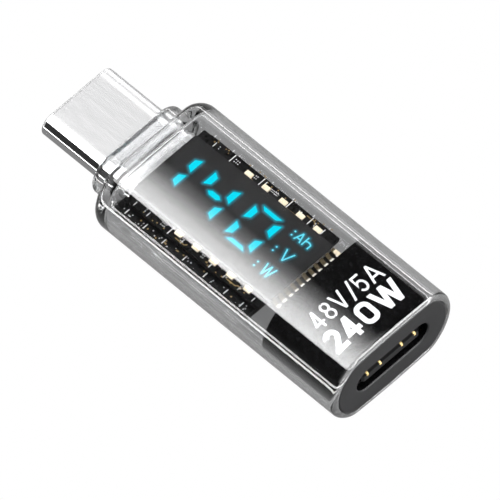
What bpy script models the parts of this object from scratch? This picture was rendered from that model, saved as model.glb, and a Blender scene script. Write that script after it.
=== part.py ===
"""USB-C power meter: a clear in-line adapter with a plug, a socket and a small display.

The long axis lies along X, from the plug at -X to the socket at +X.
Z points up, the adapter lies on its lower flat face at z = 0.
Every dimension below is in millimetres, and to_metres() scales it when a mesh is made.
Heights named *_Z are measured from the connectors' centre line, which is AXIS_Z above the floor.
"""
import math

import bmesh
import bpy
from mathutils import Matrix, Vector

MM = 0.001
PART_NAME = "usb_power_meter"
FIT_GAP = 0.02            # running gap of a pressed or moulded-in fit
CUT_PAST = 0.4            # how far a cutter reaches past the face it opens

# Ends of the adapter along X
PLUG_TIP_X = -18.15
COLLAR_FRONT_X = -11.5
BODY_FRONT_X = -9.75
CAVITY_FRONT_X = -8.5
BLOCK_FRONT_X = 9.55
SOCKET_FACE_X = 18.15

# Clear outer shell
SHELL_WIDTH = 13.9
SHELL_HEIGHT = 8.1
SHELL_WALL = 0.6
SHELL_CORNER = 2.2        # radius between the flat faces and the curved sides
SHELL_SHOULDER = 38.0     # degrees turned before the side arc takes over
SHELL_FRONT_ROUND = 1.15
SHELL_REAR_ROUND = 0.45
AXIS_Z = SHELL_HEIGHT / 2
COLLAR_WIDTH = 10.2
COLLAR_HEIGHT = 4.7
COLLAR_ROUND = 0.45
BLOCK_ROUND = 0.22

# Plug, standard USB-C sizes
PLUG_WIDTH = 8.25
PLUG_HEIGHT = 2.40
PLUG_WALL = 0.25
PLUG_REAR_X = -8.55
PLUG_MOUTH_HALF_WIDTH = 3.45
PLUG_MOUTH_HALF_HEIGHT = 0.47
PLUG_MOUTH_END_X = -12.0
LATCH_HINGE_X = -11.05
LATCH_TIP_X = -17.6
LATCH_INNER_Y = 3.46
LATCH_THICKNESS = 0.14
LATCH_HALF_HEIGHT = 0.30
LATCH_NOSE_Y = 3.18

# Socket, standard USB-C sizes
SOCKET_WIDTH = 8.34
SOCKET_HEIGHT = 2.56
SOCKET_WALL = 0.30
SOCKET_SHELL_FRONT_X = 17.33
SOCKET_SHELL_REAR_X = 9.9
TONGUE_HALF_WIDTH = 3.345
TONGUE_HALF_HEIGHT = 0.35
TONGUE_TIP_X = 17.95
TONGUE_ROOT_X = 12.3

# Contacts, the same pitch in the plug and the socket
CONTACT_COUNT = 12
CONTACT_PITCH = 0.5
CONTACT_WIDTH = 0.25
CONTACT_LOW_Z = 0.37
CONTACT_HIGH_Z = 0.45
POWER_CONTACTS = (0, 3, 8, 11)

# Boards
BOARD_HALF_THICKNESS = 0.35
BOARD_HALF_WIDTH = 5.45
BOARD_FRONT_X = -8.3
BOARD_REAR_X = 7.0
UPPER_BOARD_BOTTOM_Z = 0.65
UPPER_BOARD_TOP_Z = 1.09
UPPER_BOARD_HALF_WIDTH = 4.72
UPPER_BOARD_FRONT_X = -7.5
UPPER_BOARD_REAR_X = 7.45
UPPER_BOARD_TAIL_X = 9.35
UPPER_BOARD_TAIL_HALF_WIDTH = 3.7

# Display
DISPLAY_FRONT_X = -7.8
DISPLAY_REAR_X = 7.77
DISPLAY_HALF_WIDTH = 3.7
DISPLAY_TOP_Z = 1.44
DISPLAY_FILM_THICKNESS = 0.08
LEAD_COUNT = 11
LEAD_PITCH = 0.685
LEAD_WIDTH = 0.42
SIDE_PAD_COUNT = 5
SIDE_PAD_PITCH = 1.96
SIDE_PAD_MIDDLE_X = 1.71
SIDE_PAD_Y = 4.03


# ---------------------------------------------------------------- scene and materials

def clear_scene():
    """Remove every object of the scene the script starts in."""
    for old in list(bpy.data.objects):
        bpy.data.objects.remove(old, do_unlink=True)


def new_collection(name):
    collection = bpy.data.collections.new(name)
    bpy.context.scene.collection.children.link(collection)
    return collection


def material(name, colour, roughness, metallic=0.0, transmission=0.0):
    """A Principled material, or the one already made under that name."""
    found = bpy.data.materials.get(name)
    if found:
        return found
    made = bpy.data.materials.new(name)
    made.use_nodes = True
    shader = made.node_tree.nodes["Principled BSDF"]
    shader.inputs["Base Color"].default_value = (*colour, 1.0)
    shader.inputs["Roughness"].default_value = roughness
    shader.inputs["Metallic"].default_value = metallic
    shader.inputs["Transmission Weight"].default_value = transmission
    made.diffuse_color = (*colour, 1.0)
    return made


def clear_plastic():
    return material("clear_polycarbonate", (0.92, 0.93, 0.94), 0.04, transmission=1.0)


def black_plastic():
    return material("black_plastic", (0.012, 0.012, 0.013), 0.25)


def plug_steel():
    return material("polished_steel", (0.82, 0.82, 0.83), 0.12, metallic=1.0)


def spring_steel():
    return material("spring_steel", (0.55, 0.55, 0.56), 0.3, metallic=1.0)


def contact_gold():
    return material("contact_gold", (0.86, 0.66, 0.32), 0.25, metallic=1.0)


def board_black():
    return material("black_solder_mask", (0.01, 0.01, 0.011), 0.35)


def display_grey():
    return material("display_case_grey", (0.16, 0.16, 0.17), 0.45)


def display_window():
    return material("display_film", (0.035, 0.035, 0.038), 0.4)


def pad_cream():
    return material("tinned_pad", (0.80, 0.74, 0.62), 0.45)


def chip_epoxy():
    return material("chip_epoxy", (0.02, 0.02, 0.021), 0.55)


def ferrite_grey():
    return material("ferrite_grey", (0.11, 0.11, 0.115), 0.6)


def capacitor_tan():
    return material("capacitor_tan", (0.42, 0.33, 0.22), 0.5)


# ---------------------------------------------------------------- outlines

def arc(centre, radius, start, end, steps):
    """Points along an arc, angles in degrees from the first axis."""
    points = []
    for step in range(steps + 1):
        angle = math.radians(start + (end - start) * step / steps)
        x = centre[0] + radius * math.cos(angle)
        y = centre[1] + radius * math.sin(angle)
        points.append((x, y))
    return points


def without_repeats(points):
    """Drop a point that lies on the one before it, and a last point on the first."""
    kept = []
    for point in points:
        if not kept or math.dist(point, kept[-1]) > 0.001:
            kept.append(point)
    if math.dist(kept[0], kept[-1]) < 0.001:
        kept.pop()
    return kept


def mirrored_quarter(quarter):
    """Close a first-quadrant run, given from the +a axis round to the +b axis."""
    upper = quarter + [(-a, b) for a, b in reversed(quarter)]
    lower = [(a, -b) for a, b in reversed(upper)]
    return without_repeats(upper + lower)


def stadium(width, height, steps=8):
    """A slot shape: two straight edges and two half circles."""
    radius = height / 2
    middle = width / 2 - radius
    quarter = arc((middle, 0.0), radius, 0.0, 90.0, steps)
    return mirrored_quarter(quarter)


def rounded_rectangle(low_a, high_a, low_b, high_b, radius, steps=3):
    half_a = (high_a - low_a) / 2
    half_b = (high_b - low_b) / 2
    corner = (half_a - radius, half_b - radius)
    outline = mirrored_quarter(arc(corner, radius, 0.0, 90.0, steps))
    middle_a = (low_a + high_a) / 2
    middle_b = (low_b + high_b) / 2
    return [(a + middle_a, b + middle_b) for a, b in outline]


def body_section(inset):
    """The adapter's cross-section, shrunk by an inset: flat faces and bulging sides.

    A small corner arc turns by SHELL_SHOULDER degrees, and one large arc on the
    centre plane carries on round the side.
    """
    turn = math.radians(SHELL_SHOULDER)
    drop = SHELL_CORNER * (1.0 - math.cos(turn))
    side_radius = (SHELL_HEIGHT / 2 - drop) / math.cos(turn)
    side_centre = SHELL_WIDTH / 2 - side_radius
    flat_end = side_centre + (side_radius - SHELL_CORNER) * math.sin(turn)
    side_arc = arc((side_centre, 0.0), side_radius - inset, 0.0, 90.0 - SHELL_SHOULDER, 9)
    corner_centre = (flat_end, SHELL_HEIGHT / 2 - SHELL_CORNER)
    corner_arc = arc(corner_centre, SHELL_CORNER - inset, 90.0 - SHELL_SHOULDER, 90.0, 3)
    return mirrored_quarter(side_arc + corner_arc)


def comb(root_low_x, root_high_x, finger_tips_x, tails_x):
    """Outline of a contact row: fingers, the bar that joins them, and solder tails."""
    half_width = CONTACT_WIDTH / 2
    ys = [contact_y(index) for index in range(CONTACT_COUNT)]
    fingers = []
    for y, tip_x in zip(ys, finger_tips_x):
        fingers += [(root_high_x, y - half_width), (tip_x, y - half_width)]
        fingers += [(tip_x, y + half_width), (root_high_x, y + half_width)]
    tails = []
    for y in reversed(ys):
        tails += [(root_low_x, y + half_width), (tails_x, y + half_width)]
        tails += [(tails_x, y - half_width), (root_low_x, y - half_width)]
    return fingers + tails


def contact_y(index):
    return (index - (CONTACT_COUNT - 1) / 2) * CONTACT_PITCH


# ---------------------------------------------------------------- solids

AXIS_TURN = {
    "X": Matrix(((0, 0, 1, 0), (1, 0, 0, 0), (0, 1, 0, 0), (0, 0, 0, 1))),
    "Y": Matrix.Rotation(math.radians(90.0), 4, "X"),
    "Z": Matrix.Identity(4),
}


def to_metres(point):
    """A point given from the centre line in millimetres, in metres above the floor."""
    return Vector((point[0] * MM, point[1] * MM, (point[2] + AXIS_Z) * MM))


def prism(name, outline, axis, low, high, skin=None, pivot=None):
    """Extrude a flat outline along an axis between two stations.

    The outline's pair of numbers is (y, z) for X, (x, z) for Y and (x, y) for Z.
    The object's origin goes to the pivot, or else to the middle of its box.
    """
    curve = bpy.data.curves.new(name, "CURVE")
    curve.dimensions = "2D"
    curve.fill_mode = "BOTH"
    curve.extrude = (high - low) / 2 * MM
    spline = curve.splines.new("POLY")
    spline.points.add(len(outline) - 1)
    for point, (a, b) in zip(spline.points, outline):
        point.co = (a * MM, b * MM, 0.0, 1.0)
    spline.use_cyclic_u = True
    guide = bpy.data.objects.new(name + "_outline", curve)
    bpy.context.scene.collection.objects.link(guide)
    evaluated = guide.evaluated_get(bpy.context.evaluated_depsgraph_get())
    mesh = bpy.data.meshes.new_from_object(evaluated)
    bpy.data.objects.remove(guide, do_unlink=True)
    bpy.data.curves.remove(curve)

    middle = (low + high) / 2
    shift = {"X": (middle, 0, 0), "Y": (0, middle, 0), "Z": (0, 0, middle)}[axis]
    mesh.transform(Matrix.Translation(to_metres(shift)) @ AXIS_TURN[axis])
    weld_flat_faces(mesh)
    return place(name, mesh, skin, pivot)


def weld_flat_faces(mesh):
    """Weld the caps to the sides and make each flat face one polygon."""
    work = bmesh.new()
    work.from_mesh(mesh)
    bmesh.ops.remove_doubles(work, verts=work.verts, dist=0.0005 * MM)
    bmesh.ops.dissolve_limit(
        work, angle_limit=math.radians(0.2), verts=work.verts, edges=work.edges)
    bmesh.ops.recalc_face_normals(work, faces=work.faces)
    work.to_mesh(mesh)
    work.free()


def place(name, mesh, skin, pivot=None):
    """Make the object and move its origin without moving its surface."""
    corners = [vertex.co for vertex in mesh.vertices]
    low = Vector(min(corner[axis] for corner in corners) for axis in range(3))
    high = Vector(max(corner[axis] for corner in corners) for axis in range(3))
    origin = to_metres(pivot) if pivot else (low + high) / 2
    mesh.transform(Matrix.Translation(-origin))
    mesh.name = name
    made = bpy.data.objects.new(name, mesh)
    made.location = origin
    if skin:
        mesh.materials.clear()
        mesh.materials.append(skin)
        PARTS.objects.link(made)
    else:
        hide_cutter(made)
    return made


def hide_cutter(cutter):
    CUTTERS.objects.link(cutter)
    cutter.hide_render = True
    cutter.display_type = "WIRE"


def box(name, low, high, skin=None, edge=0.0):
    """A box between two corners, with its edges bevelled when edge is given."""
    size = [(high[axis] - low[axis]) * MM for axis in range(3)]
    middle = [(high[axis] + low[axis]) / 2 for axis in range(3)]
    bpy.ops.mesh.primitive_cube_add(size=1.0, location=to_metres(middle))
    made = bpy.context.active_object
    made.name = name
    made.data.name = name
    made.scale = size
    bpy.ops.object.transform_apply(location=False, rotation=False, scale=True)
    for collection in list(made.users_collection):
        collection.objects.unlink(made)
    if skin:
        made.data.materials.append(skin)
        PARTS.objects.link(made)
    else:
        hide_cutter(made)
    if edge:
        round_edges(made, edge, 1)
    return made


def boolean(target, tool, operation):
    modifier = target.modifiers.new(operation.lower() + "_" + tool.name, "BOOLEAN")
    modifier.operation = operation
    modifier.solver = "EXACT"
    modifier.object = tool


def cut(target, tool):
    boolean(target, tool, "DIFFERENCE")


def join(target, tool):
    boolean(target, tool, "UNION")


def round_edges(target, width, segments, angle=40.0):
    modifier = target.modifiers.new("rounded_edges", "BEVEL")
    modifier.width = width * MM
    modifier.segments = segments
    modifier.limit_method = "ANGLE"
    modifier.angle_limit = math.radians(angle)


def mark_ring(target, station_x, weight_name):
    """Give full bevel weight to the edges of the cap at one station along X."""
    mesh = target.data
    layer = mesh.attributes.new(weight_name, "FLOAT", "EDGE")
    for edge in mesh.edges:
        ends = [mesh.vertices[index].co.x + target.location.x for index in edge.vertices]
        on_cap = all(abs(end - station_x * MM) < 0.0001 * MM for end in ends)
        layer.data[edge.index].value = 1.0 if on_cap else 0.0


def round_cap(target, station_x, width, segments):
    """Round the rim of the cap that a prism has at one station along X."""
    weight_name = "bevel_weight_edge"
    if weight_name in target.data.attributes:
        weight_name = "bevel_weight_second"
    mark_ring(target, station_x, weight_name)
    modifier = target.modifiers.new("rounded_rim", "BEVEL")
    modifier.width = width * MM
    modifier.segments = segments
    modifier.limit_method = "WEIGHT"
    modifier.edge_weight = weight_name


def smooth(target, angle=35.0):
    target.data.shade_smooth()
    target.data.set_sharp_from_angle(angle=math.radians(angle))


# ---------------------------------------------------------------- shell and end block

def make_outer_shell():
    """Clear moulding: hollow body, solid nose and a collar around the plug."""
    shell = prism("outer_shell", body_section(0.0), "X", BODY_FRONT_X, SOCKET_FACE_X,
                  clear_plastic())
    round_cap(shell, BODY_FRONT_X, SHELL_FRONT_ROUND, 5)
    round_cap(shell, SOCKET_FACE_X, SHELL_REAR_ROUND, 3)
    collar = prism("collar_body", stadium(COLLAR_WIDTH, COLLAR_HEIGHT, 8), "X",
                   COLLAR_FRONT_X, CAVITY_FRONT_X - 0.3)
    round_cap(collar, COLLAR_FRONT_X, COLLAR_ROUND, 3)
    join(shell, collar)
    cavity = prism("cavity_cutter", body_section(SHELL_WALL), "X",
                   CAVITY_FRONT_X, SOCKET_FACE_X + CUT_PAST)
    round_cap(cavity, CAVITY_FRONT_X, 0.6, 3)
    cut(shell, cavity)
    hole = stadium(PLUG_WIDTH + 2 * FIT_GAP, PLUG_HEIGHT + 2 * FIT_GAP, 10)
    cut(shell, prism("plug_hole_cutter", hole, "X",
                     COLLAR_FRONT_X - CUT_PAST, CAVITY_FRONT_X + CUT_PAST))
    smooth(shell)


def make_end_block():
    """Black block that closes the shell and holds the socket."""
    block = prism("end_block", body_section(SHELL_WALL + FIT_GAP), "X",
                  BLOCK_FRONT_X, SOCKET_FACE_X, black_plastic())
    round_cap(block, SOCKET_FACE_X, BLOCK_ROUND, 2)
    mouth = stadium(SOCKET_WIDTH, SOCKET_HEIGHT, 8)
    cut(block, prism("socket_mouth_cutter", mouth, "X",
                     SOCKET_SHELL_FRONT_X - CUT_PAST, SOCKET_FACE_X + CUT_PAST))
    seat = stadium(SOCKET_WIDTH + 2 * (SOCKET_WALL + FIT_GAP),
                   SOCKET_HEIGHT + 2 * (SOCKET_WALL + FIT_GAP), 8)
    cut(block, prism("socket_seat_cutter", seat, "X",
                     BLOCK_FRONT_X - CUT_PAST, SOCKET_SHELL_FRONT_X + FIT_GAP))
    smooth(block)


# ---------------------------------------------------------------- plug

def make_plug_shell():
    """Seamless steel sleeve of the plug, rounded at its tip."""
    outer = stadium(PLUG_WIDTH, PLUG_HEIGHT, 10)
    shell = prism("plug_shell", outer, "X", PLUG_TIP_X, PLUG_REAR_X, plug_steel())
    round_cap(shell, PLUG_TIP_X, 0.18, 3)
    bore = stadium(PLUG_WIDTH - 2 * PLUG_WALL, PLUG_HEIGHT - 2 * PLUG_WALL, 10)
    cut(shell, prism("plug_bore_cutter", bore, "X",
                     PLUG_TIP_X - CUT_PAST, PLUG_REAR_X + CUT_PAST))
    smooth(shell)


def make_plug_housing():
    """Black insulator inside the sleeve, open at the front for the socket's tongue."""
    width = PLUG_WIDTH - 2 * (PLUG_WALL + FIT_GAP)
    height = PLUG_HEIGHT - 2 * (PLUG_WALL + FIT_GAP)
    front = PLUG_TIP_X + 0.2
    housing = prism("plug_housing", stadium(width, height, 8), "X", front, PLUG_REAR_X,
                    black_plastic())
    mouth_low = (front - CUT_PAST, -PLUG_MOUTH_HALF_WIDTH, -PLUG_MOUTH_HALF_HEIGHT)
    mouth_high = (PLUG_MOUTH_END_X, PLUG_MOUTH_HALF_WIDTH, PLUG_MOUTH_HALF_HEIGHT)
    cut(housing, box("plug_mouth_cutter", mouth_low, mouth_high))
    slot_half = LATCH_HALF_HEIGHT + 0.06
    latch_low = (front - CUT_PAST, -PLUG_WIDTH, -slot_half)
    latch_high = (LATCH_HINGE_X + 0.2, PLUG_WIDTH, slot_half)
    slots = box("latch_slot_cutter", latch_low, latch_high)
    core_y = LATCH_INNER_Y - 0.06
    cut(slots, box("latch_slot_core", (front - 2 * CUT_PAST, -core_y, -1.0),
                   (PLUG_REAR_X, core_y, 1.0)))
    cut(housing, slots)
    cut(housing, box("plug_plate_slot", (PLUG_MOUTH_END_X - CUT_PAST, -2.95, -0.09),
                     (PLUG_REAR_X + CUT_PAST, 2.95, 0.09)))
    for side in (-1, 1):
        low_z, high_z = sorted((side * (CONTACT_LOW_Z - 0.01), side * (CONTACT_HIGH_Z + 0.01)))
        cut(housing, box("plug_row_slot", (PLUG_MOUTH_END_X - CUT_PAST, -3.05, low_z),
                         (PLUG_REAR_X + CUT_PAST, 3.05, high_z)))
        low_z, high_z = sorted((side * 0.3, side * 1.2))
        cut(housing, box("spring_window_cutter", (-17.6, -2.6, low_z), (-16.2, 2.6, high_z)))
    smooth(housing)


def latch_outline(side):
    """A flat spring arm with an inward nose near its tip, seen from above."""
    inner = LATCH_INNER_Y
    outer = LATCH_INNER_Y + LATCH_THICKNESS
    points = [
        (LATCH_HINGE_X, inner),
        (LATCH_HINGE_X, outer),
        (LATCH_TIP_X, outer),
        (LATCH_TIP_X, inner),
        (LATCH_TIP_X + 0.35, LATCH_NOSE_Y),
        (LATCH_TIP_X + 0.80, LATCH_NOSE_Y),
        (LATCH_TIP_X + 1.25, inner),
    ]
    return [(x, side * y) for x, y in points]


def make_plug_latches():
    """The two side springs that click into the socket's tongue."""
    for name, side in (("plug_latch_left", 1), ("plug_latch_right", -1)):
        hinge = (LATCH_HINGE_X, side * (LATCH_INNER_Y + LATCH_THICKNESS / 2), 0.0)
        prism(name, latch_outline(side), "Z", -LATCH_HALF_HEIGHT, LATCH_HALF_HEIGHT,
              spring_steel(), pivot=hinge)


def make_plug_midplate():
    box("plug_midplate", (PLUG_MOUTH_END_X + 0.1, -2.9, -0.06), (PLUG_REAR_X, 2.9, 0.06),
        spring_steel())


def make_emi_springs():
    """Two grounding strips behind the plug's mouth, each with four pressed tongues."""
    for name, side in (("plug_emi_spring_top", 1), ("plug_emi_spring_bottom", -1)):
        low_z, high_z = sorted((side * 0.80, side * 0.92))
        strip = box(name, (-17.55, -2.55, low_z), (-16.25, 2.55, high_z), spring_steel())
        for y in (-2.0, -0.7, 0.7, 2.0):
            low_z, high_z = sorted((side * 0.52, side * 0.86))
            join(strip, box("emi_tongue", (-17.2, y - 0.25, low_z), (-16.9, y + 0.25, high_z)))


def make_contact_row(name, side, root, tips, tails_x):
    low_z, high_z = sorted((side * CONTACT_LOW_Z, side * CONTACT_HIGH_Z))
    prism(name, comb(root[0], root[1], tips, tails_x), "Z", low_z, high_z, contact_gold())


def make_plug_contacts():
    """Rows of the plug, from the mouth back to the board's front edge."""
    tips = [-16.0 if index in POWER_CONTACTS else -15.6 for index in range(CONTACT_COUNT)]
    make_contact_row("plug_terminals_upper", 1, (-10.2, -10.6), tips, -7.6)
    make_contact_row("plug_terminals_lower", -1, (-10.2, -10.6), tips, -7.6)


# ---------------------------------------------------------------- socket

def make_receptacle_shell():
    """Steel sleeve seated in the end block behind the plastic mouth."""
    outer = stadium(SOCKET_WIDTH + 2 * SOCKET_WALL, SOCKET_HEIGHT + 2 * SOCKET_WALL, 8)
    shell = prism("receptacle_shell", outer, "X", SOCKET_SHELL_REAR_X, SOCKET_SHELL_FRONT_X,
                  plug_steel())
    bore = stadium(SOCKET_WIDTH, SOCKET_HEIGHT, 8)
    cut(shell, prism("socket_bore_cutter", bore, "X",
                     SOCKET_SHELL_REAR_X - CUT_PAST, SOCKET_SHELL_FRONT_X + CUT_PAST))
    smooth(shell)


def tongue_outline():
    """The tongue from above, with the notches that the plug's latches drop into."""
    half = TONGUE_HALF_WIDTH
    notch = half - 0.3
    upper = [
        (TONGUE_ROOT_X - 0.3, half),
        (TONGUE_TIP_X - 1.75, half),
        (TONGUE_TIP_X - 1.65, notch),
        (TONGUE_TIP_X - 1.05, notch),
        (TONGUE_TIP_X - 0.95, half),
        (TONGUE_TIP_X - 0.2, half),
        (TONGUE_TIP_X, half - 0.2),
    ]
    return upper + [(x, -y) for x, y in reversed(upper)]


def make_receptacle_tongue():
    """Black insulator: a base that plugs the sleeve and a flat tongue."""
    base = stadium(SOCKET_WIDTH - 2 * FIT_GAP, SOCKET_HEIGHT - 2 * FIT_GAP, 8)
    tongue = prism("receptacle_tongue", base, "X", SOCKET_SHELL_REAR_X, TONGUE_ROOT_X,
                   black_plastic())
    blade = prism("tongue_blade", tongue_outline(), "Z",
                  -TONGUE_HALF_HEIGHT, TONGUE_HALF_HEIGHT)
    join(tongue, blade)
    cut(tongue, box("plate_slot_cutter", (SOCKET_SHELL_REAR_X - CUT_PAST, -2.85, -0.07),
                    (TONGUE_TIP_X - 0.45, 2.85, 0.07)))
    for side in (-1, 1):
        low_z, high_z = sorted((side * (CONTACT_LOW_Z - 0.01), side * (CONTACT_HIGH_Z + 0.01)))
        cut(tongue, box("socket_row_slot", (SOCKET_SHELL_REAR_X - CUT_PAST, -3.05, low_z),
                        (TONGUE_ROOT_X + CUT_PAST, 3.05, high_z)))
    smooth(tongue)


def make_receptacle_midplate():
    box("receptacle_midplate", (SOCKET_SHELL_REAR_X + 0.1, -2.8, -0.05),
        (TONGUE_TIP_X - 0.5, 2.8, 0.05), spring_steel())


def make_receptacle_contacts():
    """Rows of the socket, power contacts longest, with tails that reach the board."""
    tips = [17.6 if index in POWER_CONTACTS else 16.9 for index in range(CONTACT_COUNT)]
    make_contact_row("receptacle_terminals_upper", 1, (10.6, 11.0), tips, 6.3)
    make_contact_row("receptacle_terminals_lower", -1, (10.6, 11.0), tips, 6.3)


# ---------------------------------------------------------------- boards and display

def make_main_board():
    outline = rounded_rectangle(BOARD_FRONT_X, BOARD_REAR_X, -BOARD_HALF_WIDTH,
                                BOARD_HALF_WIDTH, 0.35)
    prism("main_pcb", outline, "Z", -BOARD_HALF_THICKNESS, BOARD_HALF_THICKNESS,
          board_black())


def make_display_board():
    """Upper board, with a narrower tail under the display's leads."""
    wide = UPPER_BOARD_HALF_WIDTH
    narrow = UPPER_BOARD_TAIL_HALF_WIDTH
    corner = 0.5
    far_side = arc((UPPER_BOARD_FRONT_X + corner, wide - corner), corner, 180.0, 90.0, 4)
    far_side += [
        (UPPER_BOARD_REAR_X, wide),
        (UPPER_BOARD_REAR_X, narrow),
        (UPPER_BOARD_TAIL_X, narrow),
    ]
    outline = far_side + [(x, -y) for x, y in reversed(far_side)]
    prism("display_board", outline, "Z", UPPER_BOARD_BOTTOM_Z, UPPER_BOARD_TOP_Z,
          board_black())


def make_board_spacers():
    """Two plastic header strips that carry the display board on the main board."""
    low_z = BOARD_HALF_THICKNESS + FIT_GAP
    high_z = UPPER_BOARD_BOTTOM_Z - FIT_GAP
    for name, low_y, high_y in (("board_spacer_near", -3.4, -2.4),
                                ("board_spacer_far", 2.4, 3.4)):
        box(name, (-6.0, low_y, low_z), (5.8, high_y, high_z), black_plastic())


def make_display():
    """LED display: the grey case and the dark film bonded on its top."""
    low_z = UPPER_BOARD_TOP_Z + FIT_GAP
    outline = rounded_rectangle(DISPLAY_FRONT_X, DISPLAY_REAR_X, -DISPLAY_HALF_WIDTH,
                                DISPLAY_HALF_WIDTH, 0.4)
    prism("display_case", outline, "Z", low_z, DISPLAY_TOP_Z, display_grey())
    inset = 0.06
    film = rounded_rectangle(DISPLAY_FRONT_X + inset, DISPLAY_REAR_X - inset,
                             -DISPLAY_HALF_WIDTH + inset, DISPLAY_HALF_WIDTH - inset, 0.36)
    film_low_z = DISPLAY_TOP_Z + FIT_GAP / 2
    prism("display_film", film, "Z", film_low_z, film_low_z + DISPLAY_FILM_THICKNESS,
          display_window())


def make_display_leads():
    """Flat leads behind the display, each with a solder mound at its end."""
    low_z = UPPER_BOARD_TOP_Z + FIT_GAP
    start = DISPLAY_REAR_X + 0.04
    profile = [
        (start, low_z),
        (start + 1.25, low_z),
        (start + 1.10, low_z + 0.26),
        (start + 0.82, low_z + 0.26),
        (start + 0.72, low_z + 0.12),
        (start, low_z + 0.12),
    ]
    for index in range(LEAD_COUNT):
        y = (index - (LEAD_COUNT - 1) / 2) * LEAD_PITCH
        name = "display_lead_%02d" % (index + 1)
        prism(name, profile, "Y", y - LEAD_WIDTH / 2, y + LEAD_WIDTH / 2, contact_gold())


def make_side_pads():
    """Chip capacitors in a line along each side of the display."""
    low_z = UPPER_BOARD_TOP_Z + FIT_GAP
    for row, side in (("near", -1), ("far", 1)):
        for index in range(SIDE_PAD_COUNT):
            offset = index - (SIDE_PAD_COUNT - 1) / 2
            x = SIDE_PAD_MIDDLE_X + offset * SIDE_PAD_PITCH
            y = side * SIDE_PAD_Y
            name = "chip_capacitor_%s_%d" % (row, index + 1)
            box(name, (x - 0.47, y - 0.29, low_z), (x + 0.47, y + 0.29, low_z + 0.22),
                pad_cream(), edge=0.03)


def make_underside_parts():
    """Parts soldered under the main board, in the lower half of the shell."""
    top = -BOARD_HALF_THICKNESS - FIT_GAP
    parts = (
        ("controller_chip", (-1.2, 0.0), (4.0, 4.0, 0.85), chip_epoxy()),
        ("emarker_chip", (-5.2, 2.2), (2.6, 2.6, 0.75), chip_epoxy()),
        ("regulator_chip", (-5.2, -2.2), (2.9, 1.6, 1.1), chip_epoxy()),
        ("buck_inductor", (3.6, 2.4), (2.5, 2.5, 1.5), ferrite_grey()),
        ("sense_resistor", (3.6, -2.4), (3.2, 1.6, 0.6), ferrite_grey()),
        ("timing_crystal", (-1.2, 3.6), (2.0, 1.6, 0.6), spring_steel()),
        ("bulk_capacitor_1", (-1.6, -3.6), (1.6, 0.9, 0.9), capacitor_tan()),
        ("bulk_capacitor_2", (0.6, -3.6), (1.6, 0.9, 0.9), capacitor_tan()),
        ("bulk_capacitor_3", (5.9, 0.0), (0.9, 1.6, 0.9), capacitor_tan()),
    )
    for name, (x, y), (length, width, height), skin in parts:
        low = (x - length / 2, y - width / 2, top - height)
        high = (x + length / 2, y + width / 2, top)
        box(name, low, high, skin, edge=0.06)


def main():
    make_outer_shell()
    make_end_block()
    make_plug_shell()
    make_plug_housing()
    make_plug_latches()
    make_plug_midplate()
    make_emi_springs()
    make_plug_contacts()
    make_receptacle_shell()
    make_receptacle_tongue()
    make_receptacle_midplate()
    make_receptacle_contacts()
    make_main_board()
    make_display_board()
    make_board_spacers()
    make_display()
    make_display_leads()
    make_side_pads()
    make_underside_parts()


clear_scene()
PARTS = new_collection(PART_NAME)
CUTTERS = new_collection("cutters")
main()
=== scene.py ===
"""Looks of the clear USB-C power meter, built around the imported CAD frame.

Lengths are in millimetres, measured from the middle of the adapter along X and Y and from
the connectors' centre line along Z. The function metres() turns them into the frame.
"""
import math
import random

import bmesh
import bpy
from mathutils import Matrix, Vector


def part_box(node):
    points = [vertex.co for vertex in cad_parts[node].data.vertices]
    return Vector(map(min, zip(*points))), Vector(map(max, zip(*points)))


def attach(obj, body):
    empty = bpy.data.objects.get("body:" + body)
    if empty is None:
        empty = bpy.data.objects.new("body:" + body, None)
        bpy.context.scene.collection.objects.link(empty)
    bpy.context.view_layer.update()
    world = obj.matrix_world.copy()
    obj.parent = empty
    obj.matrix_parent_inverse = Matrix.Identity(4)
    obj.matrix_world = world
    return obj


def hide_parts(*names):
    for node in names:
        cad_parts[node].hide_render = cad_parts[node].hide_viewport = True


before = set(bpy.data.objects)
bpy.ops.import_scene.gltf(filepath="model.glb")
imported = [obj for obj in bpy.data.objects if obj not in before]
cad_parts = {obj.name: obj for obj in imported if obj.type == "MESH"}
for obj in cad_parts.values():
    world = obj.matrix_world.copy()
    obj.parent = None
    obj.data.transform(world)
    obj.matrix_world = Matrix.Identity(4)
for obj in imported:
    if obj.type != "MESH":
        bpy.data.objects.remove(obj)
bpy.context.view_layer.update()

MM = 0.001
SHELL_LOW, SHELL_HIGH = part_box("outer_shell")
AXIS_Z = (SHELL_LOW.z + SHELL_HIGH.z) / 2

# ---- measures of the mouldings that the fine meshes repeat, in millimetres
REAR_X = SHELL_HIGH.x / MM
BODY_FRONT_X = -9.75
COLLAR_FRONT_X = SHELL_LOW.x / MM
CAVITY_FRONT_X = -8.5
HALF_WIDTH = 6.95
HALF_HEIGHT = 4.05
CROWN = 0.12                # how far the flat faces rise in their middle
CORNER_RADIUS = 2.2
SHOULDER = math.radians(38.0)
WALL = 0.6
BLOCK_INSET = 0.62
BLOCK_FRONT_X = 9.62
FRONT_ROUND = 1.15
REAR_ROUND = 0.45
BLOCK_ROUND = 0.22
COLLAR = (5.1, 2.35)        # half width and half height
PLUG = (4.125, 1.2)
PLUG_HOLE = (4.145, 1.22)
PLUG_BORE = (3.875, 0.95)
MOUTH = (4.17, 1.28)
SEAT = (4.49, 1.60)
PLUG_TIP_X = -18.15
PLUG_REAR_X = -8.02
MOUTH_DEPTH_X = 17.33

DISPLAY_X = (-7.94, 7.86)
DISPLAY_Y = (-3.72, 3.68)
CASE_Z = (1.11, 1.44)
FILM_TOP_Z = 1.53
BOARD_TOP_Z = 1.09
MAIN_BOARD_TOP_Z = 0.35
LEAD_COUNT = 11
LEAD_PITCH = 0.685
LEAD_HALF_WIDTH = 0.18

STROKE_STEP = 0.002         # each stroke of a letter lies this much above the last one
PRINT_LIFT = 0.004          # gap between a board or film and what lies on it
PRINT_DEPTH = 0.012

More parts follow.
